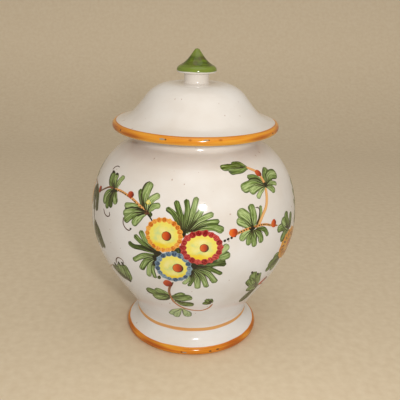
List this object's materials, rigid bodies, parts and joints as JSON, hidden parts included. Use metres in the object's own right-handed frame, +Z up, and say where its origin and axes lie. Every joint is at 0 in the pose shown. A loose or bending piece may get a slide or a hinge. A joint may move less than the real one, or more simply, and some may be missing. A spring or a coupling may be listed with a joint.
{
  "type": "potiche",
  "caption": "Covered ceramic jar with a high rounded shoulder on a flared foot, closed by a loose bell-shaped lid with a pointed knob; flower sprigs and orange bands painted on a white glaze.",
  "frame": {"origin": "centre of the foot's standing ring, on the surface that the jar stands on", "axes": "+Z up the axis that every piece was turned about, towards the knob; -Y towards the painted front"},
  "size_m": [0.2126, 0.2126, 0.3],
  "materials": {
    "white_glaze": "glossy tin glaze, hand painted",
    "bare_clay": "unglazed biscuit",
    "green_glaze": "glossy, brushed colour over white glaze"
  },
  "bodies": {
    "jar": {"jar_body": "white_glaze", "foot": "white_glaze"},
    "lid": {"lid_dome": "white_glaze", "lid_ring": "bare_clay", "finial": "green_glaze"}
  },
  "joints": [
    {"name": "lid_lift", "type": "slide", "parent": "jar", "child": "lid", "axis": [0, 0, 1], "range_m": [0, 0.15]}
  ]
}
